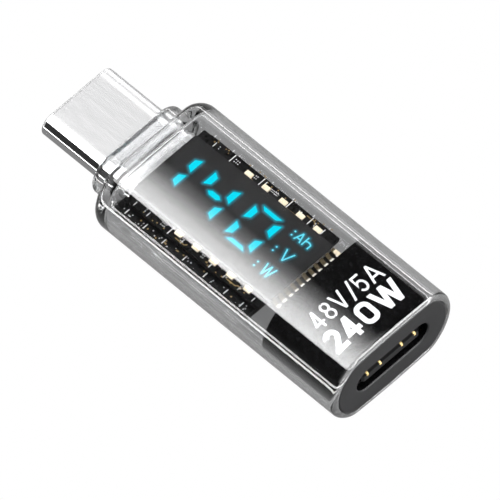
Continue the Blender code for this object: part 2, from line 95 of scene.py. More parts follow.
SIDE_STEPS = 22
CORNER_STEPS = 14
FLAT_STEPS = 12


def metres(x, y, z):
    return Vector((x * MM, y * MM, z * MM + AXIS_Z))


# ---------------------------------------------------------------- shader nodes

NOISE_TONES = (0.35, 0.65)  # where noise reaches the dark and the light tone
NOISE_SPAN = (0.3, 0.7)     # where noise reaches the two ends of a range


class Tree:
    """A material's or world's node tree, with short ways to add nodes to it."""

    def __init__(self, owner):
        owner.use_nodes = True
        self.nodes = owner.node_tree.nodes
        self.links = owner.node_tree.links

    def put(self, value, socket):
        """Link a socket to another node's output, or set it to a plain value."""
        if isinstance(value, bpy.types.NodeSocket):
            self.links.new(value, socket)
        else:
            socket.default_value = value

    def put_all(self, node, values):
        """Fill a node's inputs from a dictionary of their names."""
        for name, value in values.items():
            self.put(value, node.inputs[name])

    def calculate(self, operation, first, second=None):
        node = self.nodes.new("ShaderNodeMath")
        node.operation = operation
        self.put(first, node.inputs[0])
        if second is not None:
            self.put(second, node.inputs[1])
        return node.outputs["Value"]

    def product(self, first, *others):
        for other in others:
            first = self.calculate("MULTIPLY", first, other)
        return first

    def ranged(self, value, start, end, low=0.0, high=1.0):
        """Map start..end to low..high, and hold both ends beyond that."""
        node = self.nodes.new("ShaderNodeMapRange")
        self.put_all(node, {"Value": value, "From Min": start, "From Max": end,
                            "To Min": low, "To Max": high})
        return node.outputs["Result"]

    def ease(self, value, start, end):
        """A smooth step from 0 at start to 1 at end."""
        result = self.ranged(value, start, end)
        result.node.interpolation_type = "SMOOTHSTEP"
        return result

    def ramp(self, value, stops):
        """A colour ramp with stops given as (position, red, green, blue)."""
        node = self.nodes.new("ShaderNodeValToRGB")
        elements = node.color_ramp.elements
        elements.remove(elements[-1])
        for index, (position, *colour) in enumerate(stops):
            stop = elements[0] if index == 0 else elements.new(position)
            stop.position = position
            stop.color = (*colour, 1.0)
        self.put(value, node.inputs["Fac"])
        return node.outputs["Color"]

    def grey_ramp(self, value, pairs, unit=1.0):
        """A grey ramp stretched over the whole run of (place, level) pairs."""
        first, last = pairs[0][0], pairs[-1][0]
        stops = [((place - first) / (last - first), level, level, level)
                 for place, level in pairs]
        return self.ramp(self.ranged(value, first * unit, last * unit), stops)

    def two_tones(self, noise, dark, light):
        return self.ramp(noise, ((NOISE_TONES[0], *dark), (NOISE_TONES[1], *light)))

    def spread(self, noise, low, high):
        return self.ranged(noise, *NOISE_SPAN, low, high)

    def noise(self, grain, stretch=(1.0, 1.0, 1.0)):
        """Noise in the object's own space, with its grain in grains per millimetre."""
        place = self.nodes.new("ShaderNodeTexCoord")
        mapping = self.nodes.new("ShaderNodeMapping")
        self.put_all(mapping, {"Vector": place.outputs["Object"],
                               "Scale": tuple(grain / MM * part for part in stretch)})
        noise = self.nodes.new("ShaderNodeTexNoise")
        self.put_all(noise, {"Vector": mapping.outputs["Vector"], "Scale": 1.0, "Detail": 3.0})
        return noise.outputs["Fac"]

    def axes(self, space="Object"):
        """The place along X, Y and Z; in the Generated space of a world, the direction."""
        place = self.nodes.new("ShaderNodeTexCoord")
        split = self.nodes.new("ShaderNodeSeparateXYZ")
        self.put(place.outputs[space], split.inputs["Vector"])
        return split.outputs["X"], split.outputs["Y"], split.outputs["Z"]


# ---------------------------------------------------------------- materials

def new_material(name):
    made = bpy.data.materials.new(name)
    tree = Tree(made)
    return made, tree, tree.nodes["Principled BSDF"]


def surface(name, dark, light, roughness, grain=6.0, metallic=0.0, bump=0.0,
            stretch=(1.0, 1.0, 1.0), specular=0.5):
    """A moulded, plated or printed surface with fine variation in colour and gloss."""
    made, tree, shader = new_material(name)
    noise = tree.noise(grain, stretch)
    tree.put_all(shader, {"Base Color": tree.two_tones(noise, dark, light),
                          "Roughness": tree.spread(noise, *roughness),
                          "Metallic": metallic, "Specular IOR Level": specular})
    if bump:
        relief = tree.nodes.new("ShaderNodeBump")
        tree.put_all(relief, {"Strength": 0.6, "Distance": bump * MM, "Height": noise})
        tree.put(relief.outputs["Normal"], shader.inputs["Normal"])
    return made


def glass(name, tint, roughness, clarity=1.0):
    """Clear plastic. The photo shows hardly any bending, so the index is low, and a coat
    brings the gloss back. A faint haze comes and goes over the surface."""
    made, tree, shader = new_material(name)
    tree.put_all(shader, {"Base Color": (*tint, 1.0), "Transmission Weight": clarity,
                          "IOR": 1.33, "Coat Weight": 1.0, "Coat Roughness": 0.0,
                          "Coat IOR": 1.45,
                          "Roughness": tree.spread(tree.noise(0.5), *roughness)})
    return made


def glow(name, colour, strength):
    """A lit display segment with a slightly uneven phosphor."""
    made, tree, shader = new_material(name)
    dim = tuple(0.93 * part for part in colour)
    tree.put_all(shader, {"Base Color": (0.0, 0.005, 0.006, 1.0), "Roughness": 0.6,
                          "Specular IOR Level": 0.0, "Emission Strength": strength,
                          "Emission Color": tree.two_tones(tree.noise(5.0), dim, colour)})
    return made


def film_material():
    """Dark display film. The vertex attribute halo lights it round each segment."""
    made, tree, shader = new_material("display_film_look")
    halo = tree.nodes.new("ShaderNodeAttribute")
    halo.attribute_name = "halo"
    lit = tree.ramp(halo.outputs["Fac"], ((0.0, 0.0, 0.0, 0.0), (1.0, 0.0, 0.30, 0.42)))
    film = tree.two_tones(tree.noise(14.0), (0.0085, 0.0085, 0.0088),
                          (0.0105, 0.0105, 0.0108))
    tree.put_all(shader, {"Base Color": film, "Roughness": 0.65, "Specular IOR Level": 0.15,
                          "Emission Color": lit, "Emission Strength": 1.0})
    return made


def sleeve_material():
    """Drawn steel: satin on the flats, rougher on the far side, polished on the near one."""
    made, tree, shader = new_material("polished_steel")
    polished, satin, rougher = 0.06, (0.226, 0.232), 0.16
    near_edge = (-3.20 * MM, -2.95 * MM)
    far_edge = (2.50 * MM, 3.10 * MM)
    _, across, _ = tree.axes()
    noise = tree.noise(3.0, (0.15, 1.0, 1.0))
    near = tree.ranged(across, *near_edge, polished, tree.spread(noise, *satin))
    far = tree.ranged(across, *far_edge, 0.0, rougher)
    steel = tree.two_tones(noise, (0.62, 0.62, 0.625), (0.65, 0.65, 0.655))
    tree.put_all(shader, {"Base Color": steel, "Metallic": 1.0,
                          "Roughness": tree.calculate("ADD", near, far)})
    return made


def lead_material():
    """Gold plating that turns to bright solder at the foot, by place along X."""
    made, tree, shader = new_material("lead_gold_and_solder")
    solder_edge = (8.40 * MM, 8.52 * MM)
    along, _, _ = tree.axes()
    noise = tree.noise(9.0)
    gold = tree.two_tones(noise, (0.030, 0.021, 0.008), (0.100, 0.073, 0.030))
    solder = tree.two_tones(noise, (0.78, 0.75, 0.68), (0.95, 0.93, 0.88))
    mix = tree.nodes.new("ShaderNodeMix")
    mix.data_type = "RGBA"
    share, first, second, mixed = mix.inputs[0], mix.inputs[6], mix.inputs[7], mix.outputs[2]
    tree.put(tree.ranged(along, *solder_edge), share)
    tree.put(gold, first)
    tree.put(solder, second)
    tree.put_all(shader, {"Base Color": mixed, "Metallic": 0.5,
                          "Roughness": tree.spread(noise, 0.28, 0.5)})
    return made


CLEAR = glass("clear_polycarbonate", (0.95, 0.955, 0.96), (0.0, 0.003))
CLEAR_RIM = glass("satin_polycarbonate_rim", (0.90, 0.905, 0.91), (0.12, 0.20), 0.87)
BLACK_GLOSS = surface("black_gloss_plastic", (0.0012, 0.0012, 0.0013),
                      (0.0022, 0.0022, 0.0024), (0.12, 0.13), grain=3.0, specular=0.06)
BLACK_FACE = surface("black_end_face", (0.013, 0.013, 0.014), (0.021, 0.021, 0.022),
                     (0.5, 0.65), grain=16.0, bump=0.004)
STEEL = sleeve_material()
DARK_STEEL = surface("socket_steel", (0.05, 0.05, 0.052), (0.10, 0.10, 0.105), (0.35, 0.5),
                     grain=5.0, metallic=1.0)
SPRING = surface("spring_steel", (0.42, 0.42, 0.43), (0.60, 0.60, 0.61), (0.25, 0.4),
                 metallic=1.0, stretch=(0.2, 1.0, 1.0))
GOLD = surface("contact_gold", (0.80, 0.56, 0.22), (0.98, 0.76, 0.40), (0.2, 0.34),
               grain=7.0, metallic=1.0)
INSULATOR = surface("black_insulator", (0.004, 0.004, 0.0044), (0.008, 0.008, 0.0085),
                    (0.4, 0.55), grain=12.0, bump=0.003)
MASK = surface("black_solder_mask", (0.0010, 0.0010, 0.0011), (0.0024, 0.0024, 0.0026),
               (0.25, 0.35), grain=4.0, specular=0.06)
CASE = surface("display_case_grey", (0.16, 0.16, 0.165), (0.22, 0.22, 0.225),
               (0.5, 0.65), grain=9.0, bump=0.003)
PAD = surface("cream_ceramic", (0.62, 0.53, 0.37), (0.74, 0.65, 0.48), (0.4, 0.55),
              grain=7.0, bump=0.004)
SILK = surface("white_silkscreen", (0.62, 0.62, 0.63), (0.80, 0.80, 0.81), (0.6, 0.8),
               grain=14.0, bump=0.003)
SOCKET_GOLD = surface("socket_contact_gold", (0.70, 0.50, 0.18), (0.90, 0.70, 0.32),
                      (0.45, 0.6), grain=7.0, metallic=0.25)
TRACE = surface("copper_trace", (0.20, 0.13, 0.045), (0.36, 0.25, 0.10), (0.3, 0.5),
                grain=10.0, metallic=0.8)
EPOXY = surface("chip_epoxy", (0.005, 0.005, 0.0053), (0.010, 0.010, 0.0105),
                (0.55, 0.7), grain=14.0, bump=0.006)
FERRITE = surface("ferrite_grey", (0.03, 0.03, 0.032), (0.055, 0.055, 0.058), (0.6, 0.8),
                  grain=12.0, bump=0.01)
TAN = surface("capacitor_tan", (0.16, 0.12, 0.075), (0.24, 0.18, 0.12), (0.45, 0.6),
              grain=9.0, bump=0.004)
PRINT = surface("white_print", (0.62, 0.62, 0.63), (0.74, 0.74, 0.75), (0.55, 0.7),
                grain=12.0, bump=0.002)
CYAN = glow("segment_cyan", (0.0, 0.80, 1.0), 1.12)
PALE_CYAN = glow("indicator_cyan", (0.17, 0.83, 1.0), 1.12)
FILM = film_material()
LEAD = lead_material()


# ---------------------------------------------------------------- mesh helpers

def mesh_piece(name, vertices, faces, look, slot, body="meter", sharp=40.0):
    """A piece from corners in millimetres; its faces turn outwards by themselves."""
    mesh = bpy.data.meshes.new(name)
    mesh.from_pydata([metres(*corner) for corner in vertices], [], faces)
    work = bmesh.new()
    work.from_mesh(mesh)
    bmesh.ops.recalc_face_normals(work, faces=work.faces)
    work.to_mesh(mesh)
    work.free()
    mesh.materials.append(look)
    mesh.shade_smooth()
    mesh.set_sharp_from_angle(angle=math.radians(sharp))
    piece = bpy.data.objects.new(name, mesh)
    bpy.context.scene.collection.objects.link(piece)
    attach(piece, body)
    return piece


def loft(rings, closed=False):
    """Faces between rings of equal length; a loft that isn't closed gets end caps."""
    count = len(rings[0])
    vertices = [point for ring in rings for point in ring]
    faces = []
    last = len(rings) if closed else len(rings) - 1
    for first in range(last):
        second = (first + 1) % len(rings)
        for index in range(count):
            after = (index + 1) % count
            faces.append((first * count + index, first * count + after,
                          second * count + after, second * count + index))
    if not closed:
        faces.append(tuple(range(count)))
        faces.append(tuple((len(rings) - 1) * count + index for index in range(count)))
    return vertices, faces


def joined(parts):
    """One mesh from several (vertices, faces) pairs."""
    vertices = []
    faces = []
    for corners, sides in parts:
        base = len(vertices)
        vertices += corners
        faces += [tuple(base + index for index in face) for face in sides]
    return vertices, faces


def arc(centre, radii, start, end, steps):
    """Points along part of an ellipse, both ends included. Angles are in degrees."""
    points = []
    for step in range(steps + 1):
        angle = math.radians(start + (end - start) * step / steps)
        points.append((centre[0] + radii[0] * math.cos(angle),
                       centre[1] + radii[1] * math.sin(angle)))
    return points


def full_turn(quarter):
    """A closed outline from a quarter that runs from the +Y axis to the +Z axis."""
    upper = quarter + [(-y, z) for y, z in reversed(quarter[:-1])]
    lower = [(-y, -z) for y, z in upper[1:-1]]
    return upper + lower


def body_outline(inset):
    """The moulding's section: crowned flat faces, corner arcs and bulging sides."""
    rise = HALF_HEIGHT - CROWN
    drop = CORNER_RADIUS * (1.0 - math.cos(SHOULDER))
    side_radius = (rise - drop) / math.cos(SHOULDER)
    side_centre = HALF_WIDTH - side_radius
    corner_y = side_centre + (side_radius - CORNER_RADIUS) * math.sin(SHOULDER)
    corner_z = rise - CORNER_RADIUS
    start = math.atan(2 * CROWN / corner_y)
    side_reach = side_radius - inset
    reach = CORNER_RADIUS - inset
    turn = 90.0 - math.degrees(SHOULDER)
    quarter = arc((side_centre, 0.0), (side_reach, side_reach), 0.0, turn, SIDE_STEPS)[:-1]
    quarter += arc((corner_y, corner_z), (reach, reach), turn, 90.0 - math.degrees(start),
                   CORNER_STEPS)[:-1]
    edge_y = corner_y + reach * math.sin(start)
    edge_z = corner_z + reach * math.cos(start)
    rise_left = math.tan(start) * edge_y / 2
    for step in range(FLAT_STEPS + 1):
        share = 1.0 - step / FLAT_STEPS
        quarter.append((edge_y * share, edge_z + rise_left * (1.0 - share * share)))
    return full_turn(quarter)


def slot_outline(half_width, radius):
    """A stadium with as many points as body_outline gives."""
    centre = half_width - radius
    steps = SIDE_STEPS + CORNER_STEPS
    quarter = arc((centre, 0.0), (radius, radius), 0.0, 90.0, steps)[:-1]
    for step in range(FLAT_STEPS + 1):
        quarter.append((centre * (1.0 - step / FLAT_STEPS), radius))
    return full_turn(quarter)


def body_ring(x, inset=0.0):
    return [(x, y, z) for y, z in body_outline(inset)]


def slot_ring(x, size, grow=0.0):
    return [(x, y, z) for y, z in slot_outline(size[0] + grow, size[1] + grow)]


def rim(steps, radius, face_x, inwards):
    """Places (x, inset) on a quarter round, from the face at face_x to the side.

    The round runs inwards, which is 1 towards +X and -1 towards -X.
    """
    reach = inwards * radius
    return arc((face_x + reach, radius), (-reach, -radius), 0.0, 90.0, steps)


def dress_end(piece, look, depth):
    """Give the faces within that depth of the rear end a look of their own."""
    piece.data.materials.append(look)
    for face in piece.data.polygons:
        if face.center.x > (REAR_X - depth) * MM:
            face.material_index = 1


# ---------------------------------------------------------------- mouldings

def make_clear_shell():
    """Hollow moulding as one closed loft: skin, rims, cavity and the plug's hole."""
    fillet = 0.18
    collar_round = 0.45
    lip = 0.08
    cavity_round = 0.5
    edge = 0.03
    satin_depth = 0.22
    rings = [body_ring(x, inset) for x, inset in rim(8, REAR_ROUND, REAR_X, -1)]
    front = BODY_FRONT_X + FRONT_ROUND
    length = REAR_X - REAR_ROUND - front
    for share in (0.01, 0.25, 0.5, 0.75, 0.99):
        rings.append(body_ring(front + length * (1.0 - share)))
    for x, inset in reversed(rim(12, FRONT_ROUND, BODY_FRONT_X, 1)):
        rings.append(body_ring(x, inset))
    for x, grow in rim(5, fillet, BODY_FRONT_X, -1):
        rings.append(slot_ring(x, COLLAR, grow))
    for x, inset in reversed(rim(8, collar_round, COLLAR_FRONT_X, 1)):
        rings.append(slot_ring(x, COLLAR, -inset))
    for x, grow in rim(3, lip, COLLAR_FRONT_X, 1):
        rings.append(slot_ring(x, PLUG_HOLE, grow))
    rings.append(slot_ring(CAVITY_FRONT_X - 0.02, PLUG_HOLE))
    rings.append(slot_ring(CAVITY_FRONT_X, PLUG_HOLE, 0.02))
    for x, inset in rim(6, cavity_round, CAVITY_FRONT_X, 1):
        rings.append(body_ring(x, WALL + inset))
    start = CAVITY_FRONT_X + cavity_round
    for share in (0.01, 0.25, 0.5, 0.75, 1.0):
        rings.append(body_ring(start + (REAR_X - edge - start) * share, WALL))
    rings.append(body_ring(REAR_X, WALL - edge))
    shell = mesh_piece("clear_body", *loft(rings, closed=True), CLEAR, "clear_shell")
    dress_end(shell, CLEAR_RIM, satin_depth)
    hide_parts("outer_shell")


def make_socket_block():
    """Black end block with a rounded face edge and the socket's mouth."""
    lip = 0.14
    front_round = 0.12
    face_depth = 0.17
    step_x = MOUTH_DEPTH_X + 0.02
    rings = []
    for x, inset in rim(6, BLOCK_ROUND, REAR_X, -1):
        rings.append(body_ring(x, BLOCK_INSET + inset))
    rings.append(body_ring(REAR_X - BLOCK_ROUND - 0.1, BLOCK_INSET))
    rings.append(body_ring(BLOCK_FRONT_X + front_round + 0.1, BLOCK_INSET))
    for x, inset in reversed(rim(4, front_round, BLOCK_FRONT_X, 1)):
        rings.append(body_ring(x, BLOCK_INSET + inset))
    rings += [slot_ring(BLOCK_FRONT_X, SEAT), slot_ring(step_x, SEAT),
              slot_ring(step_x, MOUTH)]
    for x, grow in reversed(rim(5, lip, REAR_X, -1)):
        rings.append(slot_ring(x, MOUTH, grow))
    block = mesh_piece("socket_block", *loft(rings, closed=True), BLACK_GLOSS, "black_gloss")
    dress_end(block, BLACK_FACE, face_depth)
    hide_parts("end_block")


def make_plug_sleeve():
    """Drawn steel sleeve with a rolled front edge."""
    tip_round = 0.2
    bore_round = 0.05
    start = PLUG_TIP_X + tip_round
    rings = [slot_ring(x, PLUG, -inset) for x, inset in rim(7, tip_round, PLUG_TIP_X, 1)]
    for share in (0.01, 0.3, 0.6, 1.0):
        rings.append(slot_ring(start + (PLUG_REAR_X - start) * share, PLUG))
    rings.append(slot_ring(PLUG_REAR_X, PLUG_BORE))
    for x, grow in reversed(rim(3, bore_round, PLUG_TIP_X, 1)):
        rings.append(slot_ring(x, PLUG_BORE, grow))
    sleeve = mesh_piece("plug_sleeve", *loft(rings, closed=True), STEEL, "polished_steel")
    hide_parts("plug_shell")


# ---------------------------------------------------------------- flat shapes

SHARPEST_BEND = 0.35        # holds back how far a mitre sticks out at a sharp bend


def between(start, end, share):
    return tuple(a + (b - a) * share for a, b in zip(start, end))


def plate(name, outlines, low_z, high_z, look, slot):
    """Thin closed plates, one for each outline of (x, y) points, joined as one piece."""
    parts = [loft([[(x, y, z) for x, y in outline] for z in (low_z, high_z)])
             for outline in outlines]
    return mesh_piece(name, *joined(parts), look, slot)


def rounded_block(low, high, levels, steps):
    """A box with rounded corners; levels gives (height, inset, corner radius) upwards."""
    rings = []
    for z, inset, radius in levels:
        outline = rounded_box((low[0] + inset, low[1] + inset),
                              (high[0] - inset, high[1] - inset), radius, steps)
        rings.append([(x, y, z) for x, y in outline])
    return loft(rings)


def rounded_box(low, high, radius, steps=6):
    """Outline of a rectangle with rounded corners."""
    points = []
    centres = ((high[0] - radius, high[1] - radius), (low[0] + radius, high[1] - radius),
               (low[0] + radius, low[1] + radius), (high[0] - radius, low[1] + radius))
    for corner, centre in enumerate(centres):
        start = 90.0 * corner
        points += arc(centre, (radius, radius), start, start + 90.0, steps)
    return points


def disc(x, y, radius, steps=14):
    return arc((x, y), (radius, radius), 0.0, 360.0, steps)[:-1]


def stroke_sides(points, width, closed=False, level=False):
    """Left and right corners of a stroke of even width, mitred at each point.

    A level stroke is a straight one whose two ends are cut parallel to X.
    """
    half = width / 2
    if level:
        start, end = points
        reach = half * math.dist(start, end) / abs(end[1] - start[1])
        return ([(x - reach, y) for x, y in points], [(x + reach, y) for x, y in points])
    count = len(points)
    left, right = [], []
    for index, (x, y) in enumerate(points):
        before = points[index - 1] if closed or index else None
        after = points[(index + 1) % count] if closed or index < count - 1 else None
        ways = []
        for start, end in ((before, (x, y)), ((x, y), after)):
            if start and end:
                length = math.dist(start, end)
                ways.append(((end[0] - start[0]) / length, (end[1] - start[1]) / length))
        way_x = sum(way[0] for way in ways)
        way_y = sum(way[1] for way in ways)
        length = math.hypot(way_x, way_y)
        way_x, way_y = way_x / length, way_y / length
        along = way_x * ways[0][0] + way_y * ways[0][1]
        reach = half / max(along, SHARPEST_BEND)
        left.append((x - way_y * reach, y + way_x * reach))
        right.append((x + way_y * reach, y - way_x * reach))
    return left, right


def ribbon(left, right, closed, base_z, low, high):
    """A stroke's solid between two heights above base_z, a function of the place in Y."""
    rings = []
    for one, other in zip(left, right):
        foot, other_foot = base_z(one[1]), base_z(other[1])
        rings.append([(*one, foot + low), (*other, other_foot + low),
                      (*other, other_foot + high), (*one, foot + high)])
    return loft(rings, closed)


def strokes(name, runs, width, low_z, high_z, look, slot):
    """Flat strokes as one piece. Each run is (points, closed, level)."""
    parts = []
    for order, (points, closed, level) in enumerate(runs):
        left, right = stroke_sides(points, width, closed, level)
        top = high_z + order * STROKE_STEP
        parts.append(ribbon(left, right, closed, lambda y: 0.0, low_z, top))
    return mesh_piece(name, *joined(parts), look, slot, sharp=30.0)


def rounded_polygon(corners, radius, steps=4):
    """A polygon whose corners are cut by small curves."""
    points = []
    count = len(corners)
    for index, corner in enumerate(corners):
        before = corners[index - 1]
        after = corners[(index + 1) % count]
        start = between(corner, before, radius / math.dist(corner, before))
        end = between(corner, after, radius / math.dist(corner, after))
        for step in range(steps + 1):
            share = step / steps
            points.append(tuple((1 - share) ** 2 * a + 2 * share * (1 - share) * c
                                + share ** 2 * b for a, c, b in zip(start, corner, end)))
    return points


# ---------------------------------------------------------------- plain letters

def glyph(character, width, half):
    """Strokes of one character in a cell of that width and a height of 1.

    The cell runs between the strokes' middle lines; half is half a stroke's width.
    Each stroke is (points, closed, level), see stroke_sides.
    """
    w = width
    top = 1.0 + half
    foot = -half

    def slant(x, y, end_x, end_y):
        return ([(x, y), (end_x, end_y)], False, True)

    if character == "0":
        return [(rounded_box((0.0, 0.0), (w, 1.0), 0.42 * w, 8), True, False)]
    if character == "2":
        bowl = arc((w / 2, 1.0 - w / 2), (w / 2, w / 2), 172.0, -35.0, 14)
        return [(bowl + [(0.10 * w, 0.05)], False, False),
                ([(-half, 0.0), (w + half, 0.0)], False, False)]
    if character == "4":
        post = 0.72 * w
        cross = 0.25
        return [slant(post, top, 0.0, cross - half),
                ([(0.0, cross), (w + half, cross)], False, False),
                slant(post, top, post, foot)]
    if character == "5":
        bowl = arc((0.48 * w, 0.32), (0.52 * w, 0.32), 128.0, -150.0, 16)
        start = [(w + 0.6 * half, 1.0), (0.10 * w, 1.0), (0.05 * w, 0.48)]
        return [(start + bowl, False, False)]
    if character == "8":
        upper = rounded_box((0.06 * w, 0.53), (0.94 * w, 1.0), 0.22, 7)
        lower = rounded_box((0.0, 0.0), (w, 0.53), 0.255, 7)
        return [(upper, True, False), (lower, True, False)]
    if character == "A":
        return [slant(0.0, foot, w / 2, top), slant(w, foot, w / 2, top),
                ([(0.15 * w, 0.28), (0.85 * w, 0.28)], False, False)]
    if character == "V":
        return [slant(0.0, top, w / 2, foot), slant(w, top, w / 2, foot)]
    if character == "W":
        return [slant(high * w, top, low * w, foot)
                for high, low in ((0.0, 0.27), (0.5, 0.27), (0.5, 0.73), (1.0, 0.73))]
    if character == "h":
        arch = arc((w / 2, 0.42), (w / 2, 0.22), 180.0, 0.0, 10)
        return [slant(0.0, top, 0.0, foot), (arch + [(w, foot)], False, False)]
    return [slant(0.0, -0.12, w, 1.12)]         # a slash


# ---------------------------------------------------------------- display

DIGIT_THICKNESS = 0.56
SEGMENT_CUT = 0.34
BAR_THICKNESS = 0.35
SEGMENT_TRIM = 0.09
INDICATOR_STROKE = 0.13
# reach in millimetres and peak of the glow that each kind of lit shape throws
SEGMENT_GLOW = (0.15, 0.9)
STROKE_GLOW = (0.13, 0.55)
DOT_GLOW = (0.12, 0.5)
GLOW_END = 2.6              # times its reach, where the glow is next to nothing


def upright_segment(outer_x, high_y, low_y, side):
    """A segment with its long edge at outer_x; side is the way its body lies."""
    outer_x += side * SEGMENT_TRIM / 2
    high_y -= SEGMENT_TRIM
    low_y += SEGMENT_TRIM
    inner_x = outer_x + side * DIGIT_THICKNESS
    return [(outer_x, high_y), (outer_x, low_y), (inner_x, low_y + SEGMENT_CUT),
            (inner_x, high_y - SEGMENT_CUT)]


def level_segment(low_x, high_x, outer_y, side):
    outer_y += side * SEGMENT_TRIM / 2
    low_x += SEGMENT_TRIM
    high_x -= SEGMENT_TRIM
    inner_y = outer_y + side * BAR_THICKNESS
    cut = 0.38
    return [(low_x, outer_y), (high_x, outer_y), (high_x - cut, inner_y),
            (low_x + cut, inner_y)]


def middle_segment(x, y):
    tip, shoulder, half = 0.70, 0.40, 0.23
    return [(x - tip, y), (x - shoulder, y + half), (x + shoulder, y + half),
            (x + tip, y), (x + shoulder, y - half), (x - shoulder, y - half)]


SEGMENTS = [
    ("digit_1_b", upright_segment(-5.55, 2.22, 0.56, -1)),
    ("digit_1_c", upright_segment(-5.55, 0.30, -1.29, -1)),
    ("digit_2_f", upright_segment(-4.17, 2.20, 0.54, 1)),
    ("digit_2_g", middle_segment(-2.63, 0.38)),
    ("digit_2_b", upright_segment(-1.13, 2.17, 0.50, -1)),
    ("digit_2_c", upright_segment(-1.17, 0.00, -1.63, -1)),
    ("digit_3_a", level_segment(0.92, 3.20, 2.52, -1)),
    ("digit_3_f", upright_segment(0.45, 2.13, 0.48, 1)),
    ("digit_3_b", upright_segment(3.57, 2.10, 0.43, -1)),
    ("digit_3_e", upright_segment(0.42, 0.00, -1.63, 1)),
    ("digit_3_c", upright_segment(3.48, -0.03, -1.66, -1)),
    ("digit_3_d", level_segment(0.87, 3.03, -1.95, 1)),
]

# name, what word_runs takes and the middles of the two dots before the word
INDICATORS = [
    ("charge", ("Ah", 0.62, 0.26, (5.00, 1.93), 0.80), ((4.62, 2.47), (4.62, 2.02))),
    ("volts", ("V", 0.86, 0.0, (5.38, -0.30), 1.02), ((4.58, 0.33), (4.58, -0.12))),
    ("watts", ("W", 1.00, 0.0, (5.22, -2.40), 1.04), ((4.50, -1.76), (4.50, -2.24))),
]


def word_runs(word, cell, gap, corner, height):
    """Strokes of a word that reads along +X with its letters' tops towards +Y.

    Each letter has a cell of that width, and gap lies between two cells.
    """
    runs = []
    x = corner[0]
    for character in word:
        for points, closed, level in glyph(character, cell / height,
                                           INDICATOR_STROKE / height / 2):
            placed = [(x + a * height, corner[1] + b * height) for a, b in points]
            runs.append((placed, closed, level))
        x += cell + gap
    return runs


def distance_to_segment(point, start, end):
    along = ((point[0] - start[0]) * (end[0] - start[0])
             + (point[1] - start[1]) * (end[1] - start[1]))
    length = math.dist(start, end) ** 2
    share = min(1.0, max(0.0, along / length)) if length else 0.0
    return math.dist(point, between(start, end, share))


def inside(point, outline):
    within = False
    for (ax, ay), (bx, by) in zip(outline, outline[1:] + outline[:1]):
        if (ay > point[1]) != (by > point[1]):
            if point[0] < ax + (bx - ax) * (point[1] - ay) / (by - ay):
                within = not within
    return within


def halo_at(point, shapes):
    """Brightness of the glow that the lit shapes throw on the film at a point."""
    best = 0.0
    for outline, reach, peak in shapes:
        margin = GLOW_END * reach
        xs = [x for x, _ in outline]
        ys = [y for _, y in outline]
        if not (min(xs) - margin < point[0] < max(xs) + margin
                and min(ys) - margin < point[1] < max(ys) + margin):
            continue
        if inside(point, outline):
            return peak
        edges = zip(outline, outline[1:] + outline[:1])
        away = min(distance_to_segment(point, start, end) for start, end in edges)
        best = max(best, peak * math.exp(-(away / reach) ** 2))
    return best


def make_display():
    """Case, dark film with the glow round each lit shape, segments and indicators."""
    (low_x, high_x), (low_y, high_y) = DISPLAY_X, DISPLAY_Y
    rounding = 0.20
    levels = [(z, inset, rounding - inset) for z, inset in
              ((CASE_Z[0], 0.0), (CASE_Z[0] + 0.02, 0.0), (CASE_Z[1] - 0.04, 0.0),
               (CASE_Z[1] - 0.01, 0.015), (CASE_Z[1], 0.04))]
    block = rounded_block((low_x, low_y), (high_x, high_y), levels, 8)
    case = mesh_piece("display_housing", *block, CASE, "display_grey")
    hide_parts("display_case")

    shapes = [(corners, *SEGMENT_GLOW) for _, corners in SEGMENTS]
    for _, word, dots in INDICATORS:
        for points, _, _ in word_runs(*word):
            for start, end in zip(points, points[1:]):
                left, right = stroke_sides([start, end], 0.14)
                shapes.append((left + right[::-1], *STROKE_GLOW))
        shapes += [(disc(*dot, 0.09, 6), *DOT_GLOW) for dot in dots]
    make_film(shapes)

    top = FILM_TOP_Z + PRINT_LIFT
    for name, corners in SEGMENTS:
        outline = rounded_polygon(corners, 0.09)
        plate(name, [outline], top, top + PRINT_DEPTH, CYAN, "display_film")
    for name, word, dots in INDICATORS:
        strokes("indicator_" + name, word_runs(*word), INDICATOR_STROKE, top, top + 0.01,
                PALE_CYAN, "display_film")
        plate("indicator_dots_" + name, [disc(*dot, 0.085) for dot in dots],
              top, top + 0.01, PALE_CYAN, "display_film")


def make_film(shapes):
    """The film as a fine grid, so that the glow fades smoothly across it."""
    inset = 0.05
    low_x, high_x = DISPLAY_X[0] + inset, DISPLAY_X[1]
    low_y, high_y = DISPLAY_Y[0] + inset, DISPLAY_Y[1] - inset
    rounding = 0.16
    columns = 196
    rows = 92
    vertices = []
    halos = []
    for row in range(rows + 1):
        y = low_y + (high_y - low_y) * row / rows
        edge = min(y - low_y, high_y - y)
        back = 0.0
        if edge < rounding:
            back = rounding - math.sqrt(rounding ** 2 - (rounding - edge) ** 2)
        for column in range(columns + 1):
            x = low_x + back + (high_x - low_x - 2 * back) * column / columns
            vertices.append((x, y, FILM_TOP_Z))
            halos.append(halo_at((x, y), shapes))
    faces = []
    stride = columns + 1
    for row in range(rows):
        for column in range(columns):
            first = row * stride + column
            faces.append((first, first + 1, first + stride + 1, first + stride))
    border = list(range(columns))
    border += [row * stride + columns for row in range(rows)]
    border += [rows * stride + column for column in range(columns, 0, -1)]
    border += [row * stride for row in range(rows, 0, -1)]
    base = len(vertices)
    low_z = CASE_Z[1] + 0.005
    vertices += [(*vertices[index][:2], low_z) for index in border]
    count = len(border)
    for index in range(count):
        after = (index + 1) % count
        faces.append((border[index], border[after], base + after, base + index))
    faces.append(tuple(base + index for index in range(count)))
    film = mesh_piece("display_window", vertices, faces, FILM, "display_film")
    layer = film.data.attributes.new("halo", "FLOAT", "POINT")
    for index, halo in enumerate(halos):
        layer.data[index].value = halo
    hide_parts("display_film")


# ---------------------------------------------------------------- print on the block

